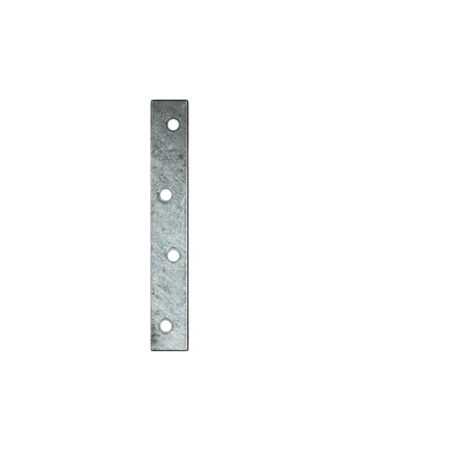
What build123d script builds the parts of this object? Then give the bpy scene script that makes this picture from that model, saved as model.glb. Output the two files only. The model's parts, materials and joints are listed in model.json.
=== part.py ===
"""A steel mending plate: a short flat strip with four countersunk screw holes in a zigzag.

Millimetres. The plate lies on its back face at Z = 0 and its countersunk front faces +Z. Its
length runs along Y and its width along X. The origin is the centre of the back face.
"""

import os

from build123d import *

# Strip
PLATE_LENGTH = 101.6
PLATE_WIDTH = 15.5
PLATE_THICKNESS = 2.0

# Edges: the strip is rolled round along its front edges, and tumbling rounds the cut ends less
ROLLED_EDGE_RADIUS = 1.1
CUT_END_RADIUS = 0.5
BACK_EDGE_BREAK = 0.15

# Screw holes, two near the ends and two nearer the middle
BORE_DIAMETER = 4.5
COUNTERSINK_DIAMETER = 6.0
COUNTERSINK_ANGLE = 90.0
BACK_RIM_BREAK = 0.1
END_HOLE_INSET = 10.15
INNER_HOLE_INSET = 38.5
HOLE_STAGGER = 1.5

# Each hole's distance from the middle of the plate's length
end_hole_reach = PLATE_LENGTH / 2 - END_HOLE_INSET
inner_hole_reach = PLATE_LENGTH / 2 - INNER_HOLE_INSET

# The holes step from side to side along the plate, so no two neighbours split the same grain
hole_centres = [
    (HOLE_STAGGER, end_hole_reach),
    (-HOLE_STAGGER, inner_hole_reach),
    (HOLE_STAGGER, -inner_hole_reach),
    (-HOLE_STAGGER, -end_hole_reach),
]

with BuildPart() as plate:
    # Strip, drawn as its cross-section with both front edges rolled round
    with BuildSketch(Plane.XZ) as cross_section:
        with Locations((0, PLATE_THICKNESS / 2)):
            Rectangle(PLATE_WIDTH, PLATE_THICKNESS)
        fillet(cross_section.vertices().group_by(Axis.Y)[-1], ROLLED_EDGE_RADIUS)
    extrude(amount=PLATE_LENGTH / 2, both=True)

    # Cut ends, rounded at the front and at the corners but not along the back
    end_faces = plate.faces().filter_by(Axis.Y)
    end_edges = [edge for end in end_faces for edge in end.edges().sort_by(Axis.Z)[1:]]
    fillet(end_edges, CUT_END_RADIUS)

    # Back edge, broken all round
    chamfer(plate.faces().sort_by(Axis.Z)[0].edges(), BACK_EDGE_BREAK)

    # Countersunk screw holes, sunk from the front
    with Locations(Plane.XY.offset(PLATE_THICKNESS)):
        with Locations(*hole_centres):
            CounterSinkHole(
                radius=BORE_DIAMETER / 2,
                counter_sink_radius=COUNTERSINK_DIAMETER / 2,
                counter_sink_angle=COUNTERSINK_ANGLE,
            )

    # Burr taken off each hole's rim at the back
    back_face = plate.faces().sort_by(Axis.Z)[0]
    chamfer(back_face.inner_wires().edges(), BACK_RIM_BREAK)

plate.part.label = "mending_plate"

os.makedirs("parts", exist_ok=True)
export_step(plate.part, "parts/mending_plate.step")
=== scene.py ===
"""Looks of a zinc-plated steel mending plate: its worn mesh, its finish, a floor and studio light."""

import json
import math

import bpy
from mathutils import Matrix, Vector, noise


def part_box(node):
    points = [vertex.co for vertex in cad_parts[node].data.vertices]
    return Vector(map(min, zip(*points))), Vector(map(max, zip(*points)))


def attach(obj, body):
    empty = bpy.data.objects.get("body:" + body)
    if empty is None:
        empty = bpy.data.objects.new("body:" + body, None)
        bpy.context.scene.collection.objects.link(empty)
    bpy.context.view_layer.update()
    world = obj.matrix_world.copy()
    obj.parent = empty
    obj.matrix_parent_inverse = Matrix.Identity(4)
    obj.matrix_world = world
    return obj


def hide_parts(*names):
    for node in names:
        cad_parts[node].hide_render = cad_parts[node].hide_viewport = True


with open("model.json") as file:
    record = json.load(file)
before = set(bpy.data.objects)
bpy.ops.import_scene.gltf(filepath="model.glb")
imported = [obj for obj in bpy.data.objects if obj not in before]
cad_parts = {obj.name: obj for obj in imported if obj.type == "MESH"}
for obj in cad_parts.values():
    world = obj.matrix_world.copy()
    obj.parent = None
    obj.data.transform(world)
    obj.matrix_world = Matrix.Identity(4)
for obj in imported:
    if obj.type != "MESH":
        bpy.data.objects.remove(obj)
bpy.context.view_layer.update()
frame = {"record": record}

# Metres throughout, with MM for lengths given in millimetres
MM = 0.001
NODE = "mending_plate"

low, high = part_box(NODE)
WIDTH = high.x - low.x
LENGTH = high.y - low.y
THICKNESS = high.z - low.z

# Edges and hole sizes, as in the part's source
ROLLED_EDGE_RADIUS = 1.1 * MM
CUT_END_RADIUS = 0.5 * MM
BACK_EDGE_BREAK = 0.15 * MM
COUNTERSINK_RADIUS = 3.0 * MM
BACK_RIM_BREAK = 0.1 * MM

# The grid over both faces: how far inside the rim it ends, and its spacing
FACE_INSET = 1.2 * MM
GRID_STEP = 0.25 * MM

# Steps round a corner, over a rounded edge, down the side and over the back edge's break
CORNER_STEPS = 8
EDGE_STEPS = 12
WALL_STEPS = 5
BREAK_STEPS = 3

# The narrow band of the back face just inside its break
BACK_MARGIN = 0.05 * MM

# Round a hole the grid's squares are drawn in: they start CELL_STEPS away from the hole's own
# node, and end RING_STEPS away in a round ring that stands RIM_WIDTH outside the opening
CELL_STEPS = 19
RING_STEPS = 10
RIM_WIDTH = 0.3 * MM

# Down a hole: how far out and down the points of its worn rim lie, shares of the way down the
# countersink, the worn corner at its foot, and shares of the way up the bore
WORN_RIM = ((0.1 * MM, 0.004 * MM), (0.02 * MM, 0.03 * MM))
CONE_SHARES = (0.08, 0.3, 0.5, 0.7, 0.94)
WORN_FOOT = (0.01 * MM, 0.03 * MM)
BORE_SHARES = (0.85, 0.6, 0.35, 0.1, 0.0)

# Faint waves in the outline: their mean depth in millimetres, and their length
WAVE_DEPTH = 0.012
WAVE_LENGTH = 3 * MM

# The zinc's own tone, the least share of it that wear leaves, and how deep its texture is
ZINC_TONE = 0.7
DARKEST_SHARE = 0.24
BUMP_DEPTH = 0.01 * MM

# The floor's reach and how far it lies under the plate, which keeps the two apart
FLOOR_REACH = 1.5
FLOOR_DROP = 0.05 * MM

# The camera's place over the plate, and its height over the middle of the plate's thickness
CAMERA_OFFSET = (0.0224, 0.00015)
CAMERA_HEIGHT = 0.5044


# ---------------------------------------------------------------- plate mesh


def spaced(reach, step):
    """Even places from -reach to reach, about a step apart."""
    count = round(2 * reach / step)
    return [-reach + 2 * reach * i / count for i in range(count + 1)]


COLUMNS = spaced(WIDTH / 2 - FACE_INSET, GRID_STEP)
ROWS = spaced(LENGTH / 2 - FACE_INSET, GRID_STEP)


class Hole:
    """A screw hole: its centre, its countersink's, and the grid node that its rings go round."""

    def __init__(self, mount, sink_shift):
        self.x, self.y = mount["pos_m"][:2]
        self.bore = mount["dims"]["r_mm"] * MM
        self.sink_x = self.x + sink_shift[0] * MM
        self.sink_y = self.y + sink_shift[1] * MM
        self.column = min(range(len(COLUMNS)), key=lambda i: abs(COLUMNS[i] - self.x))
        self.row = min(range(len(ROWS)), key=lambda j: abs(ROWS[j] - self.y))

    def steps(self, i, j):
        """How many square rings out from the hole's own node a node is."""
        return max(abs(i - self.column), abs(j - self.row))

    def ring(self):
        """The nodes of the innermost ring, anticlockwise."""
        n = RING_STEPS
        sides = [(n, k) for k in range(-n, n)]
        for _ in range(3):
            sides += [(-b, a) for a, b in sides[-2 * n:]]
        return [(self.column + a, self.row + b) for a, b in sides]

    def drawn_in(self, i, j, radius):
        """Where a node near the hole goes, so that square rings turn into round ones."""
        a, b = i - self.column, j - self.row
        n = max(abs(a), abs(b))
        if abs(a) == n:
            angle = math.pi / 4 * b / n if a > 0 else math.pi - math.pi / 4 * b / n
        else:
            angle = math.pi / 2 - math.pi / 4 * a / n if b > 0 else math.pi / 4 * a / n - math.pi / 2
        out = (n - RING_STEPS) / (CELL_STEPS - RING_STEPS)
        x = self.sink_x + radius * math.cos(angle)
        y = self.sink_y + radius * math.sin(angle)
        return x + (COLUMNS[i] - x) * out, y + (ROWS[j] - y) * out


# How far each countersink was drilled off its hole's centre, in millimetres
SINK_SHIFTS = {
    "screw_hole_1": (0.0, 0.0),
    "screw_hole_2": (-0.2, -0.04),
    "screw_hole_3": (0.1, 0.26),
    "screw_hole_4": (0.0, 0.0),
}
HOLES = [Hole(m, SINK_SHIFTS[m["name"]]) for m in frame["record"]["mounts"] if m["kind"] == "bore"]


class PlateMesh:
    """Collects the plate's points and faces."""

    def __init__(self):
        self.points = []
        self.faces = []

    def add(self, x, y, z):
        """Adds a point and gives its number."""
        self.points.append((x, y, z))
        return len(self.points) - 1

    def bridge(self, inner, outer):
        """Faces between two closed rings, with no repeated corner where a ring stands still."""
        for k in range(len(inner)):
            ring = [inner[k - 1], outer[k - 1], outer[k], inner[k]]
            corners = list(dict.fromkeys(ring))
            if len(corners) > 2:
                self.faces.append(corners)

    def face(self, z, ring_radius, upward):
        """One face of the plate as a grid with a round opening at each hole. Returns its nodes."""
        nodes = {}
        for i, x in enumerate(COLUMNS):
            for j, y in enumerate(ROWS):
                near = min(HOLES, key=lambda hole: hole.steps(i, j))
                steps = near.steps(i, j)
                if steps < RING_STEPS:
                    continue
                place = near.drawn_in(i, j, ring_radius) if steps < CELL_STEPS else (x, y)
                nodes[i, j] = self.add(*place, z)
        for i in range(len(COLUMNS) - 1):
            for j in range(len(ROWS) - 1):
                corners = [(i, j), (i + 1, j), (i + 1, j + 1), (i, j + 1)]
                if all(c in nodes for c in corners):
                    found = [nodes[c] for c in corners]
                    self.faces.append(found if upward else found[::-1])
        return nodes


# Dents in the outline, in millimetres: x, y, how far each reaches and how deep it goes
DENTS = (
    (-7.75, 15.4, 4.2, 0.07),
    (-7.75, 50.8, 2.4, 0.18),
    (7.75, 50.8, 1.6, 0.17),
    (7.75, -50.8, 1.3, 0.08),
    (-7.75, -50.8, 1.5, 0.10),
    (7.75, 28.0, 6.0, 0.05),
)


def rim_wear(x, y):
    """How far the outline is worn in at a place on it: faint waves and a few dents."""
    wear = WAVE_DEPTH + WAVE_DEPTH * noise.noise(Vector((x, y, 0)) / WAVE_LENGTH)
    for dent_x, dent_y, reach, depth in DENTS:
        share = max(0, 1 - math.hypot(x / MM - dent_x, y / MM - dent_y) / reach)
        wear += depth * share * share * (3 - 2 * share)
    return wear * MM


class Station:
    """A place on the rim: the grid node behind it and the direction that it faces."""

    def __init__(self, node, degrees):
        self.node = node
        self.share_x = COLUMNS[node[0]] / COLUMNS[-1]
        self.share_y = ROWS[node[1]] / ROWS[-1]
        turn = math.radians(degrees)
        self.facing = math.cos(turn), math.sin(turn)

        # The end's smaller rounding turns into the long side's on the way round the corner
        share = math.cos(turn) ** 2
        self.rounding = CUT_END_RADIUS + (ROLLED_EDGE_RADIUS - CUT_END_RADIUS) * share
        self.wear = 0
        self.wear = rim_wear(*self.place(0))

    def place(self, inset):
        """The point on the worn outline drawn in by an inset. The face's own nodes stay put."""
        inset = self.wear + inset * (1 - self.wear / FACE_INSET)
        square = max(inset, CUT_END_RADIUS)
        x = self.share_x * (WIDTH / 2 - square) + self.facing[0] * (square - inset)
        y = self.share_y * (LENGTH / 2 - square) + self.facing[1] * (square - inset)
        return x, y


def stations():
    """The places round the rim, anticlockwise from the lower right corner."""
    last_i, last_j = len(COLUMNS) - 1, len(ROWS) - 1
    right = [((last_i, j), 0) for j in range(last_j + 1)]
    top = [((i, last_j), 90) for i in range(last_i, -1, -1)]
    left = [((0, j), 180) for j in range(last_j, -1, -1)]
    bottom = [((i, 0), 270) for i in range(last_i + 1)]
    found = []
    for side in (right, top, left, bottom):
        found += side
        corner, start = side[-1]
        found += [(corner, start + 90 * k / CORNER_STEPS) for k in range(1, CORNER_STEPS)]
    return [Station(node, degrees) for node, degrees in found]


def edge_profile(r):
    """(inset from the rim, height) from the front face over the rounded edge and down to the back."""
    turns = [math.pi / 2 * k / EDGE_STEPS for k in range(EDGE_STEPS + 1)]
    profile = [(r * (1 - math.sin(a)), THICKNESS - r * (1 - math.cos(a))) for a in turns]
    wall = THICKNESS - r - BACK_EDGE_BREAK
    profile += [(0, THICKNESS - r - wall * k / WALL_STEPS) for k in range(1, WALL_STEPS + 1)]
    shares = [k / BREAK_STEPS for k in range(1, BREAK_STEPS + 1)]
    profile += [(BACK_EDGE_BREAK * s, BACK_EDGE_BREAK * (1 - s)) for s in shares]
    profile += [(BACK_EDGE_BREAK + BACK_MARGIN, 0)]
    return profile


def hole_profile(bore):
    """(radius, height, share of the countersink's shift) down a hole, from its rim to the back."""
    sink = COUNTERSINK_RADIUS
    depth = sink - bore
    profile = [(sink + out, THICKNESS - down, 1) for out, down in WORN_RIM]
    profile += [(sink - depth * s, THICKNESS - depth * s, 1 - s) for s in CONE_SHARES]
    profile += [(bore + WORN_FOOT[0], THICKNESS - depth - WORN_FOOT[1], 0)]
    wall = THICKNESS - depth - BACK_RIM_BREAK
    profile += [(bore, BACK_RIM_BREAK + wall * s, 0) for s in BORE_SHARES]
    profile += [(bore + BACK_RIM_BREAK, 0, 0)]
    return profile


def make_plate():
    """The whole plate as one closed mesh, nearly all of it quads."""
    mesh = PlateMesh()
    front = mesh.face(THICKNESS, COUNTERSINK_RADIUS + RIM_WIDTH, True)
    back = mesh.face(0, HOLES[0].bore + BACK_RIM_BREAK + RIM_WIDTH, False)

    rim = stations()
    ring = [front[station.node] for station in rim]
    profiles = [edge_profile(station.rounding) for station in rim]
    for level in zip(*profiles):
        fresh = [mesh.add(*station.place(inset), z) for station, (inset, z) in zip(rim, level)]
        mesh.bridge(ring, fresh)
        ring = fresh
    mesh.bridge(ring, [back[station.node] for station in rim])

    for hole in HOLES:
        nodes = hole.ring()
        turns = [2 * math.pi * k / len(nodes) - math.pi / 4 for k in range(len(nodes))]
        ring = [front[node] for node in nodes]
        for radius, z, share in hole_profile(hole.bore):
            x = hole.x + (hole.sink_x - hole.x) * share
            y = hole.y + (hole.sink_y - hole.y) * share
            fresh = [mesh.add(x + radius * math.cos(t), y + radius * math.sin(t), z) for t in turns]
            mesh.bridge(fresh, ring)
            ring = fresh
        mesh.bridge([back[node] for node in nodes], ring)

    data = bpy.data.meshes.new("zinc_plate")
    data.from_pydata(mesh.points, [], mesh.faces)
    data.validate()
    data.polygons.foreach_set("use_smooth", [True] * len(data.polygons))
    plate = bpy.data.objects.new("zinc_plate", data)
    bpy.context.scene.collection.objects.link(plate)
    return plate


# ---------------------------------------------------------------- finish


class Field:
    """A number or vector that varies over the surface: a socket in a node tree, with arithmetic."""

    # The tree that new nodes go into
    tree = None

    def __init__(self, socket):
        self.socket = socket

    @classmethod
    def node(cls, kind, inputs=(), output=0, **settings):
        """Adds a node with its inputs and settings, and gives one of its outputs."""
        made = cls.tree.nodes.new(kind)
        for name, value in settings.items():
            setattr(made, name, value)
        for name, value in dict(inputs).items():
            if isinstance(value, Field):
                cls.tree.links.new(value.socket, made.inputs[name])
            else:
                made.inputs[name].default_value = value
        return Field(made.outputs[output])

    @classmethod
    def math(cls, operation, *values):
        """An operation on numbers."""
        return cls.node("ShaderNodeMath", enumerate(values), operation=operation)

    @classmethod
    def vector(cls, operation, *values, output=0):
        """An operation on vectors."""
        return cls.node("ShaderNodeVectorMath", enumerate(values), output, operation=operation)

    def parts(self):
        """A vector's x, y and z."""
        first = Field.node("ShaderNodeSeparateXYZ", {0: self})
        return [Field(socket) for socket in first.socket.node.outputs]

    def __add__(self, other):
        return Field.math("ADD", self, other)

    def __sub__(self, other):
        return Field.math("SUBTRACT", self, other)

    def __rsub__(self, other):
        return Field.math("SUBTRACT", other, self)

    def __mul__(self, other):
        return Field.math("MULTIPLY", self, other)

    def __abs__(self):
        return Field.math("ABSOLUTE", self)

    __radd__ = __add__
    __rmul__ = __mul__

    def between(self, start, end, low=0.0, high=1.0):
        """Low up to start, high from end on, with a smooth change between."""
        # Smoothstep keeps to its range unclamped, and so many clamps would overflow Cycles' stack
        values = {"Value": self, "From Min": start, "From Max": end, "To Min": low, "To Max": high}
        return Field.node("ShaderNodeMapRange", values, interpolation_type="SMOOTHSTEP", clamp=False)

    def near(self, centre, reach):
        """1 at a value and 0 from a reach away on."""
        return abs(self - centre).between(reach, 0.0)


def noise_field(place, scale, detail=2.0, rough=0.5, distortion=0.0):
    """Noise about 0, mostly within -0.5 to 0.5 and nearly always within -1 to 1."""
    values = {"Vector": place, "Scale": scale, "Detail": detail}
    values |= {"Roughness": rough, "Distortion": distortion}
    return (Field.node("ShaderNodeTexNoise", values) - 0.5) * 3.0


def stretched(place, degrees, along, across):
    """The place turned so that a texture on it runs at an angle and is drawn out along it."""
    values = {"Vector": place, "Rotation": (0, 0, -math.radians(degrees))}
    turned = Field.node("ShaderNodeMapping", values)
    return Field.vector("MULTIPLY", turned, (along, across, 1.0))


def spot(place, x, y, half_length, half_width, degrees=0.0, amount=1.0):
    """A soft oval in millimetres, however deep: an amount at its centre and 0 at its rim."""
    # These nodes take less of Cycles' stack than a Mapping node for each spot, which overflows it
    moved = Field.vector("SUBTRACT", place, (x, y, 0.0))
    values = {"Vector": moved, "Angle": -math.radians(degrees)}
    turned = Field.node("ShaderNodeVectorRotate", values, rotation_type="Z_AXIS")
    scaled = Field.vector("MULTIPLY", turned, (1.0 / half_length, 1.0 / half_width, 0.0))
    return Field.vector("LENGTH", scaled, output="Value").between(1.0, 0.0, 0.0, amount)


# Soft marks on the front face, in millimetres: x, y, half length, half width, angle of the length,
# and how much darker (below 0) or lighter the zinc is at the middle of the mark
MARKS = (
    # The +Y third: dull blotches, a lighter corner and lighter stretches
    (-5.6, 48.6, 2.4, 1.6, 12.0, -0.26),
    (-4.2, 46.2, 2.6, 1.3, -20.0, -0.24),
    (0.4, 46.6, 5.2, 2.2, 4.0, -0.34),
    (6.0, 48.9, 2.8, 1.8, 80.0, 0.76),
    (3.6, 43.4, 3.0, 2.2, 0.0, -0.22),
    (5.6, 38.4, 3.4, 1.4, 90.0, -0.16),
    (1.5, 40.6, 4.2, 4.0, 0.0, -0.42),
    (-5.6, 38.8, 5.6, 3.0, 84.0, 0.44),
    (-2.8, 36.2, 3.0, 2.2, -30.0, 0.28),
    (0.8, 31.9, 2.9, 1.5, 22.0, 0.40),
    (-5.4, 24.2, 7.6, 3.4, 80.0, 0.20),
    (-2.8, 24.0, 3.4, 1.5, -35.0, 0.44),
    (-4.3, 27.2, 2.0, 1.3, -30.0, 0.22),
    # Rubbed bands and dull patches, most of them sloping down towards +X
    (0.8, 26.0, 5.0, 1.3, -34.0, -0.32),
    (0.4, 22.4, 1.8, 1.0, -34.0, -0.18),
    (4.7, 28.0, 3.8, 2.3, 84.0, -0.42),
    (2.2, 30.4, 2.8, 1.3, -10.0, -0.26),
    (5.8, 22.2, 1.8, 1.5, 0.0, -0.30),
    (4.4, 21.8, 2.6, 1.6, -20.0, -0.46),
    (4.4, 15.6, 3.4, 2.0, 84.0, -0.24),
    (2.3, 19.4, 2.4, 1.2, -38.0, 0.22),
    (-0.8, 13.2, 9.0, 0.8, -40.0, -0.10),
    (-2.6, -25.4, 5.4, 1.1, -38.0, -0.34),
    (-4.6, -28.9, 3.2, 1.1, -38.0, -0.40),
    (3.2, -21.0, 4.2, 0.7, -38.0, -0.16),
    (-0.9, -18.8, 4.4, 1.2, -6.0, -0.22),
    (-1.2, -29.8, 3.6, 1.2, -34.0, -0.30),
    (4.2, -26.0, 2.4, 1.5, 60.0, -0.26),
    (4.2, -31.8, 3.2, 2.0, 60.0, -0.38),
    (-3.2, -33.2, 3.6, 1.3, -12.0, 0.18),
    (-4.9, -35.4, 3.0, 0.6, -14.0, -0.30),
    (-4.4, -37.0, 2.6, 0.5, -10.0, -0.24),
    (-1.6, -36.6, 2.6, 0.9, -20.0, -0.12),
    # Dark marks beside the two middle holes and towards -Y from them
    (-5.2, 14.6, 2.8, 1.6, 90.0, -0.22),
    (-6.0, 8.2, 2.4, 1.0, 90.0, -0.22),
    (5.2, 12.6, 3.8, 1.4, 90.0, -0.16),
    (-2.8, -17.0, 2.4, 1.3, -30.0, -0.26),
    (-4.9, -23.8, 2.4, 1.2, -20.0, -0.22),
    (-4.8, 12.4, 1.9, 0.9, 90.0, -0.74),
    (-3.7, 9.9, 1.9, 0.9, -48.0, -0.60),
    (-1.2, 8.8, 2.8, 0.8, 2.0, -0.46),
    (-2.0, -12.0, 1.9, 0.8, 90.0, -0.66),
    (-2.8, -14.6, 2.6, 1.2, -34.0, -0.30),
    # Grime worked into the corner at -X, -Y and along the -Y end
    (-6.2, -42.4, 3.4, 1.0, 88.0, -0.60),
    (-5.4, -44.4, 3.0, 1.2, -8.0, -0.40),
    (-5.2, -46.6, 3.2, 0.9, -5.0, -0.28),
    (-6.5, -45.4, 5.0, 1.5, 90.0, -0.34),
    (-4.8, -48.2, 3.2, 0.8, 0.0, -0.24),
    (-5.9, -47.2, 4.6, 2.8, 86.0, -0.50),
    (-2.8, -46.0, 4.6, 1.3, 4.0, -0.26),
    (-4.7, -43.0, 2.2, 1.3, 90.0, -0.44),
    (-5.4, -50.0, 3.4, 1.2, 0.0, -0.40),
    (0.6, -50.0, 1.8, 1.0, 0.0, -0.32),
    (-6.0, -40.2, 2.8, 1.4, 90.0, -0.50),
    # Light and dull stretches of the face
    (0.6, -4.9, 5.4, 2.2, 4.0, 0.22),
    (0.4, -9.4, 2.8, 1.0, 8.0, 0.16),
    (4.0, 6.2, 6.6, 2.6, 86.0, -0.28),
    (-3.2, 8.2, 2.6, 1.0, 0.0, 0.16),
    (5.9, -25.0, 12.5, 1.3, 90.0, -0.20),
    (4.8, -35.2, 2.4, 1.6, 90.0, -0.22),
    (4.6, -38.4, 2.2, 1.4, 0.0, 0.20),
    (3.0, -44.0, 3.6, 2.6, 90.0, 0.06),
    (-5.9, -21.4, 2.6, 1.3, 90.0, 0.30),
    (-5.9, -30.9, 1.8, 1.2, 90.0, 0.22),
    (-2.4, -43.2, 1.4, 0.9, 0.0, 0.26),
    # Rub marks along the -X side
    (-6.8, 0.2, 2.4, 0.6, 90.0, -0.24),
    (-6.5, -25.0, 5.2, 0.6, 90.0, -0.16),
    (-6.5, -37.6, 2.6, 0.7, 90.0, -0.24),
    # Painted glints: small bright spots
    (1.4, 8.6, 0.9, 0.5, 40.0, 0.40),
    (-4.4, 33.6, 1.1, 0.5, 30.0, 0.50),
    (-5.6, 36.4, 0.9, 0.5, -20.0, 0.40),
    (-2.8, 34.6, 1.3, 0.5, 50.0, 0.40),
    (-5.2, 29.4, 1.2, 0.5, -50.0, 0.40),
)

# Pits and specks of grime beside the -X edge: x, y, half length along Y, and how dark
SPECKS = (
    (-6.9, 7.9, 0.9, 0.7),
    (-7.0, 4.6, 1.2, 0.9),
    (-6.2, 5.3, 0.8, 0.8),
    (-6.7, 1.4, 0.6, 0.4),
    (-7.0, -8.7, 0.6, 0.6),
    (-6.6, -15.6, 0.7, 0.5),
    (-6.7, -19.6, 0.6, 0.5),
    (-6.7, -37.9, 0.6, 0.6),
    (-6.8, -39.9, 0.6, 0.7),
    (-6.9, -41.8, 0.8, 1.0),
    (-6.8, -44.4, 1.5, 1.0),
    (-7.2, -46.1, 0.8, 1.0),
    (-7.1, -47.5, 0.8, 0.9),
)

# Scratches and small marks: x, y, half length, half width, angle, and how much lighter or darker
SCRATCHES = (
    # Arcs round the +Y side of the first hole, and the dark marks beside them
    (-3.9, 44.6, 1.6, 0.40, 64.0, 0.60),
    (-2.1, 46.1, 1.6, 0.40, 28.0, 0.56),
    (0.4, 46.4, 1.6, 0.40, -6.0, 0.65),
    (-2.3, 43.8, 1.4, 0.40, 62.0, 0.60),
    (-0.5, 45.1, 1.3, 0.36, 16.0, 0.55),
    (-2.9, 45.2, 0.7, 0.50, 20.0, -0.70),
    (-3.3, 43.9, 0.7, 0.50, 60.0, -0.60),
    (1.9, 45.2, 0.9, 0.55, -60.0, -0.60),
    (4.3, 44.3, 1.4, 0.80, 0.0, -0.40),
    (4.0, 42.9, 1.8, 0.32, -52.0, 0.90),
    # Scratches between the two middle holes
    (5.5, 9.9, 3.0, 0.36, 68.0, 1.10),
    (4.9, 9.0, 1.8, 0.34, 70.0, 0.46),
    (5.5, 5.6, 1.7, 0.38, 68.0, 0.76),
    (3.7, 5.6, 1.6, 0.34, 66.0, 0.60),
    (4.5, 2.6, 2.2, 0.34, 72.0, 0.46),
    (5.9, 1.2, 2.2, 0.26, 70.0, 0.40),
    (6.4, 8.0, 1.6, 0.20, 76.0, 0.50),
    (3.0, 1.4, 1.8, 0.24, 66.0, 0.36),
    (-5.9, 1.9, 1.3, 0.26, 52.0, 0.44),
    (-4.9, -1.6, 1.6, 0.24, 58.0, 0.34),
    (-2.5, -1.5, 1.4, 0.40, 62.0, -0.60),
    # A lens-shaped scratch between the first two holes, and short marks near it
    (-4.9, 24.6, 1.5, 0.22, 62.0, 0.26),
    (0.0, 31.2, 2.0, 0.60, 8.0, 0.60),
    (0.9, 30.1, 2.5, 0.50, 11.0, -1.00),
    (-3.1, 30.5, 1.4, 0.48, -46.0, 0.85),
    (-3.5, 34.0, 1.6, 0.42, -8.0, -0.80),
    (-5.4, 32.2, 0.8, 0.60, 0.0, -0.70),
    (-3.2, 31.7, 0.8, 0.50, -30.0, -0.70),
    (2.8, 29.4, 0.8, 0.50, 70.0, -0.60),
    (4.2, 28.0, 1.9, 0.55, 0.0, -0.50),
    # Fine lines, all but the first sloping down towards +X
    (0.9, 33.4, 1.6, 0.26, 38.0, 0.44),
    (-1.6, 27.4, 5.2, 0.24, -36.0, 0.22),
    (0.2, 17.2, 6.0, 0.22, -42.0, -0.24),
    (1.6, 13.6, 5.6, 0.22, -43.0, 0.24),
    (-1.0, -22.6, 6.6, 0.24, -40.0, -0.22),
    (0.8, -26.8, 6.8, 0.24, -40.0, -0.24),
    (-2.6, -26.6, 4.8, 0.40, -38.0, 0.22),
    # Dark spots and streaks of the -Y half, with one more fine line
    (1.4, -29.4, 3.0, 0.50, -38.0, -0.34),
    (4.7, -24.6, 1.9, 0.45, -40.0, -0.40),
    (4.3, -27.4, 2.0, 0.45, -36.0, -0.34),
    (-6.5, -27.5, 0.8, 0.65, 0.0, -1.10),
    (-2.1, -17.1, 0.6, 0.50, 0.0, -0.70),
    (-6.6, -25.7, 0.6, 0.50, 0.0, -0.60),
    (-5.0, -26.4, 0.6, 0.50, 0.0, -0.50),
    (-2.1, -18.3, 0.7, 0.60, 0.0, -1.00),
    (-4.9, -18.6, 1.5, 0.55, 4.0, -0.40),
    (-2.6, -22.3, 1.4, 0.40, 0.0, -0.36),
    (-0.9, -24.2, 0.6, 0.40, 0.0, -0.50),
    (-0.4, -24.6, 6.4, 0.22, -40.0, 0.16),
    (-4.4, -34.4, 1.7, 0.45, -6.0, -0.50),
    (-4.9, -35.8, 2.1, 0.50, -18.0, -0.46),
    (0.6, -35.2, 2.2, 0.34, -10.0, -0.40),
    (-4.1, -44.4, 1.0, 0.45, -22.0, -0.70),
    (-2.7, -45.1, 0.9, 0.40, -10.0, -0.50),
    (-6.2, -47.2, 1.0, 0.45, 90.0, -0.60),
    # Light lines of the -Y end
    (5.4, -49.9, 2.2, 0.40, 0.0, 0.30),
    (6.5, -49.6, 1.4, 0.50, 90.0, 0.36),
    (2.5, -42.6, 2.1, 0.22, 58.0, 0.22),
)

# Where the zinc shows blue, and where it shows warm: x, y, half length, half width and angle
BLUE_PATCHES = (
    (0.8, 6.2, 4.6, 3.2, -20.0),
    (2.2, 3.0, 3.2, 1.8, 10.0),
    (-2.9, -8.2, 3.0, 2.4, 80.0),
    (-3.2, -14.0, 2.4, 1.6, 70.0),
    (3.4, -8.8, 2.6, 1.4, 20.0),
    (4.2, -36.8, 3.6, 2.4, 86.0),
    (2.6, -47.4, 2.0, 1.4, 90.0),
    (0.6, 31.6, 3.6, 1.8, 15.0),
)
WARM_PATCHES = (
    (-6.6, 21.4, 9.0, 1.5, 90.0),
    (5.4, -16.0, 4.6, 2.2, 90.0),
    (3.8, -20.0, 4.0, 3.0, 90.0),
    (-6.2, -22.8, 3.4, 1.6, 90.0),
    (-2.2, -34.4, 4.6, 1.7, -20.0),
    (-5.6, -37.2, 6.0, 1.8, 90.0),
    (-4.4, -42.6, 3.4, 2.4, 0.0),
)


def turning_marks(place, hole):
    """How far a place is from a hole's axis, and the faint rings that rubbing left round the hole."""
    arm = Field.vector("SUBTRACT", place, (hole.sink_x / MM, hole.sink_y / MM, 0.0))
    flat = Field.vector("MULTIPLY", arm, (1.0, 1.0, 0.0))
    away = Field.vector("LENGTH", flat, output="Value")
    facing = Field.vector("NORMALIZE", flat)
    spread = Field.vector("MULTIPLY", facing, (1.6, 1.6, 0.0))
    rise = Field.node("ShaderNodeCombineXYZ", {2: away * 2.2})
    rings = noise_field(Field.vector("ADD", spread, rise), 1.0, 2.0, 0.6)
    return away, rings * away.between(5.6, 3.4)


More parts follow.
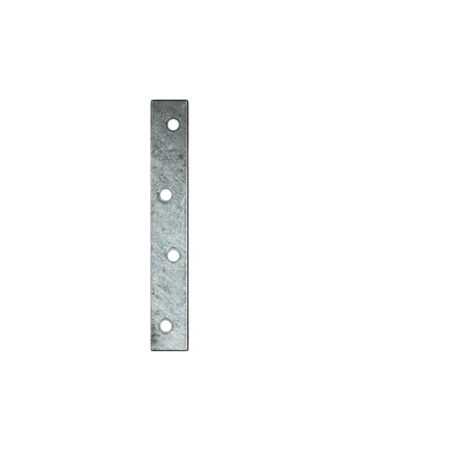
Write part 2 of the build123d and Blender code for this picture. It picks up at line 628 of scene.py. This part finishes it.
def zinc_material():
    """Zinc plating that has been tumbled, rubbed and scuffed, with painted shade at its ends, edges and
    holes, its fields in millimetres.
    """
    material = bpy.data.materials.new("zinc_plating")
    material.use_nodes = True
    Field.tree = material.node_tree
    Field.tree.nodes.clear()
    coords = Field.node("ShaderNodeTexCoord", output="Object")
    place = Field.vector("MULTIPLY", coords, (1 / MM, 1 / MM, 1 / MM))
    x, y, z = place.parts()
    half_width, half_length, top = WIDTH / 2 / MM, LENGTH / 2 / MM, THICKNESS / MM
    from_middle = abs(y)

    # Marks are kept to the front face and its rounded edges, and run out down the sides
    front = z.between(top - 1.2, top - 0.6)

    # Tumbling leaves a fine mottle, and rubbing leaves fine lines that slope both ways
    mottle = noise_field(place, 1.2, 3.0, 0.62, 0.4)
    grain = noise_field(place, 2.4, 1.0)
    down_lines = noise_field(stretched(place, -40.0, 0.16, 1.5), 1.0, 3.0, 0.62)
    level_lines = noise_field(stretched(place, -8.0, 0.3, 1.5), 1.0, 2.0, 0.6)
    up_lines = noise_field(stretched(place, 66.0, 0.28, 1.8), 1.0, 2.0, 0.6)
    bands = noise_field(stretched(place, -38.0, 0.06, 0.33), 1.0, 2.0, 0.6)
    clouds = noise_field(place, 0.22, 2.0)
    glints = noise_field(stretched(place, -30.0, 0.4, 1.5), 1.0, 1.0).between(0.3, 0.8)
    pits = noise_field(place, 1.5, 1.0).between(-0.35, -0.85)

    # Round each hole the marks turn, its rim gets a painted dark ring of shade and its countersink is
    # clean
    turned = [turning_marks(place, hole) for hole in HOLES]
    swirl = sum(rings for _, rings in turned) * front
    from_hole = turned[0][0]
    for away, _ in turned[1:]:
        from_hole = Field.math("MINIMUM", from_hole, away)
    sink = COUNTERSINK_RADIUS / MM
    painted_rim_shade = from_hole.near(sink - 0.12, 0.3) * front
    in_sink = from_hole.between(sink, sink - 0.2)

    # The rolled edges and the cut ends are rubbed smooth
    right_edge = x.between(half_width - 1.2, half_width - 0.95)
    left_edge = x.between(0.55 - half_width, 0.3 - half_width)
    long_edge = right_edge + left_edge
    end_edge = from_middle.between(half_length - 0.9, half_length - 0.65)
    smooth = Field.math("MAXIMUM", Field.math("MAXIMUM", long_edge, end_edge), in_sink)

    # The texture is strongest between the first two holes, and weaker at both ends, where the
    # surface is rubbed smooth and in a calm stretch of the +X side
    strength = (
        y.between(5.0, 30.0, 1.0, 1.4)
        * y.between(37.0, 43.0, 1.0, 0.55)
        * smooth.between(0.0, 1.0, 1.0, 0.3)
        * y.between(-41.0, -45.0, 1.0, 0.6)
        * y.between(-12.0, -17.0, 1.0, 0.82)
        * (1.0 - spot(place, 4.9, 33.0, 9.5, 4.2, 90.0, 0.7))
    )
    sloping = from_middle.between(7.0, 14.0, 0.12, 0.5)
    fine = (
        mottle * 0.24
        + grain * 0.48
        + down_lines * sloping
        + level_lines * 0.3
        + up_lines * 0.3
        + glints * 0.16
        - pits * 0.2
    )
    texture = (fine + swirl * 0.36) * strength + bands * y.between(-30.0, 0.0, 0.18, 0.26) + clouds * 0.12

    # The marks' rims are uneven
    values = {"Vector": place, "Scale": 0.9, "Detail": 2.0}
    wander = Field.node("ShaderNodeTexNoise", values, output="Color")
    centred = Field.vector("SUBTRACT", wander, (0.5, 0.5, 0.5))
    uneven = Field.vector("ADD", place, Field.vector("MULTIPLY", centred, (2.2, 2.2, 0.0)))
    patchy = (mottle + down_lines).between(-0.5, 0.5, 0.65, 1.2)
    marks = sum(spot(uneven, *mark) for mark in MARKS) * patchy
    scratches = sum(spot(place, *scratch) for scratch in SCRATCHES) * patchy
    specks = sum(spot(place, px, py, long, 0.5, 90.0, dark) for px, py, long, dark in SPECKS)

    # A dotted dark line inside each rolled edge is painted shade where the edge starts to roll, and the
    # rolled edges are darker towards the ends, the -X one mostly towards +Y
    dotted = noise_field(stretched(place, 90.0, 0.5, 1.2), 1.0, 2.0).between(-0.6, 0.6, 0.4, 1.3)
    edge_line_shade = (
        x.near(half_width - 1.34, 0.42) * 0.58
        + x.near(1.15 - half_width, 0.45) * y.between(-30.0, 20.0, 0.08, 0.2)
    )
    tips = (
        x.between(half_width - 0.9, half_width - 0.6) * from_middle.between(26.0, 42.0)
        + x.between(0.9 - half_width, 0.6 - half_width)
        * (y.between(26.0, 42.0) + y.between(-26.0, -42.0, 0.0, 0.4))
    )

    # The +Y end is darker, partly duller zinc and partly painted shade; the cut edges are darker, partly
    # sheared zinc and partly painted shade; the +X side and the first countersink get painted shade
    # Painted shade towards +Y, partly duller zinc, and a little lighter towards -Y
    dulling_and_shade = y.between(8.0, 49.0, 1.0, 0.71) * y.between(-34.0, -46.0, 1.0, 1.06)
    # The cut ends are darker, partly sheared zinc and partly painted shade for the dark that their
    # rounding mirrors
    far_cut = y.between(half_length - 0.95, half_length - 0.65)
    near_cut = (
        y.between(0.8 - half_length, 0.56 - half_length)
        * x.between(0.25 - half_width, 0.75 - half_width, 0.4, 1.0)
        * x.between(half_width - 2.15, half_width - 0.75, 1.0, 0.7)
    )
    cut = (far_cut * 0.84 + near_cut * 0.94) * z.between(top - 0.75, top - 0.5, 0.15, 1.0)
    wear = 1.0 + texture + (marks + scratches - edge_line_shade * dotted) * front
    worn = Field.math("MAXIMUM", wear, DARKEST_SHARE)
    clean = smooth.between(0.0, 1.0, 1.0, 1.06) + in_sink * 0.16
    # Painted shade on the +X rolled edge and the top of its side
    painted_side_shade = x.between(half_width - 0.8, half_width - 0.5) * 0.45 * z.between(top - 1.4, top - 1.0)
    # Painted shade in the first countersink
    painted_sink_shade = in_sink * y.between(30.0, 38.0) * 0.5
    rims = (1.0 - painted_rim_shade * 0.5) * (1.0 - painted_sink_shade)
    tone = (
        worn
        * dulling_and_shade
        * clean
        * (1.0 - specks * front * 0.9)
        * (1.0 - tips * 0.55)
        * (1.0 - painted_side_shade)
        * (1.0 - cut)
        * rims
        * ZINC_TONE
    )

    # Bluish zinc, greyer at the ends, along the edges and in the countersinks: the green is the
    # tone itself, and the red and the blue stand a little off it
    blue = sum(spot(uneven, *patch) for patch in BLUE_PATCHES) * front
    warm = sum(spot(uneven, *patch) for patch in WARM_PATCHES) * front
    tint = clouds * 0.014 + bands * 0.014
    # The -X rolled edge's extra red is a painted warm reflection
    grey_and_painted_warmth = from_middle.between(28.0, 44.0) * 0.035 + smooth * 0.07 + left_edge * 0.06
    red = tone * (0.845 + worn * 0.02 + grey_and_painted_warmth + tint - blue * 0.045 + warm * 0.02)
    deep = tone * (1.0 - tint + blue * 0.08 - warm * 0.035)
    color = Field.node("ShaderNodeCombineColor", {0: red, 1: tone, 2: deep})

    # The sheen and the surface vary with the same texture
    rough = 0.3 + mottle * 0.04 + down_lines * 0.03
    height = mottle * 0.5 + grain * 0.3 + down_lines * 0.6 + up_lines * 0.4
    bump = Field.node("ShaderNodeBump", {"Height": height, "Distance": BUMP_DEPTH, "Strength": 1.0})
    shader = Field.node(
        "ShaderNodeBsdfPrincipled",
        {"Base Color": color, "Metallic": 1.0, "Roughness": rough, "Normal": bump},
    )
    out = Field.tree.nodes.new("ShaderNodeOutputMaterial")
    Field.tree.links.new(shader.socket, out.inputs["Surface"])
    return material


# ---------------------------------------------------------------- studio


# Lights, in metres: name, place, size and radiance. The metal mirrors the cards, which light
# nothing else, and the lamps light the floor alone
CARDS = (
    ("softbox", (0.09, -0.067, 0.3), (0.26, 0.206), 0.68),
    ("bright_side", (0.1275, -0.06, 0.31), (0.165, 0.22), 0.9),
    ("left_card", (-0.11, -0.067, 0.3), (0.13, 0.206), 0.62),
)
LAMPS = (
    ("fill", (0, 0, 0.9), (1.5, 1.5), 0.2),
    ("overhead", (0, 0, 2.0), (0.3, 0.3), 106.0),
)


def make_floor():
    """A floor of matt white paper that the metal doesn't mirror."""
    data = bpy.data.meshes.new("floor")
    ways = ((-1, -1), (1, -1), (1, 1), (-1, 1))
    corners = [(FLOOR_REACH * a, FLOOR_REACH * b, -FLOOR_DROP) for a, b in ways]
    data.from_pydata(corners, [], [(0, 1, 2, 3)])
    floor = bpy.data.objects.new("floor", data)
    bpy.context.scene.collection.objects.link(floor)
    paper = bpy.data.materials.new("white_paper")
    paper.use_nodes = True
    shader = paper.node_tree.nodes["Principled BSDF"]
    shader.inputs["Base Color"].default_value = (0.9, 0.9, 0.9, 1)
    shader.inputs["Roughness"].default_value = 0.9
    shader.inputs["Specular IOR Level"].default_value = 0.0
    data.materials.append(paper)
    floor.visible_glossy = False


def area_light(name, place, size, radiance, mirrored):
    """A rectangular light of a given radiance, facing straight down."""
    data = bpy.data.lights.new(name, "AREA")
    data.shape = "RECTANGLE"
    data.size, data.size_y = size
    data.energy = radiance * math.pi * size[0] * size[1]
    light = bpy.data.objects.new(name, data)
    light.location = place
    light.visible_glossy = mirrored
    light.visible_diffuse = not mirrored
    light.visible_camera = False
    bpy.context.scene.collection.objects.link(light)


def make_world():
    """What the metal mirrors: light walls, grey along the horizon, dark overhead and towards +X."""
    world = bpy.data.worlds.new("studio")
    bpy.context.scene.world = world
    world.use_nodes = True
    Field.tree = world.node_tree
    Field.tree.nodes.clear()
    x, y, z = Field.node("ShaderNodeTexCoord", output="Generated").parts()
    walls = z.between(0.96, 0.88, 0.08, 0.66) * z.between(-0.6, -0.1, 0.7, 1.0)
    skyline = abs(z).between(0.3, 0.12)
    right = (x - abs(y)).between(0.3, 0.5)

    # High up past both ends it is dark too
    ends = (abs(y) - abs(x)).between(0.1, 0.3) * z.between(0.5, 0.72)
    sides = (
        walls * (1.0 - right) * (1.0 - ends)
        + right * z.between(-0.1, 0.1, 0.12, 0.2)
        + ends * 0.1
    )
    seen = sides * (1.0 - skyline) + skyline * (0.34 - right * 0.16)

    # Behind the floor the camera sees a pale even backdrop
    camera_ray = Field.node("ShaderNodeLightPath", output="Is Camera Ray")
    strength = seen * (1.0 - camera_ray) + camera_ray * 0.95
    background = Field.node("ShaderNodeBackground", {"Color": (1.0, 1.0, 1.0, 1.0), "Strength": strength})
    out = Field.tree.nodes.new("ShaderNodeOutputWorld")
    Field.tree.links.new(background.socket, out.inputs["Surface"])


def make_camera():
    """A long lens looking straight down, with the plate left of the middle of its picture."""
    data = bpy.data.cameras.new("camera")
    data.lens = 100
    data.sensor_width = 36
    camera = bpy.data.objects.new("camera", data)
    camera.location = (*CAMERA_OFFSET, THICKNESS / 2 + CAMERA_HEIGHT)
    bpy.context.scene.collection.objects.link(camera)
    bpy.context.scene.camera = camera


plate = make_plate()
plate.data.materials.append(zinc_material())
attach(plate, "root")
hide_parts(NODE)

make_floor()
make_world()
for card in CARDS:
    area_light(*card, mirrored=True)
for lamp in LAMPS:
    area_light(*lamp, mirrored=False)
make_camera()
bpy.context.scene.view_settings.view_transform = "Standard"
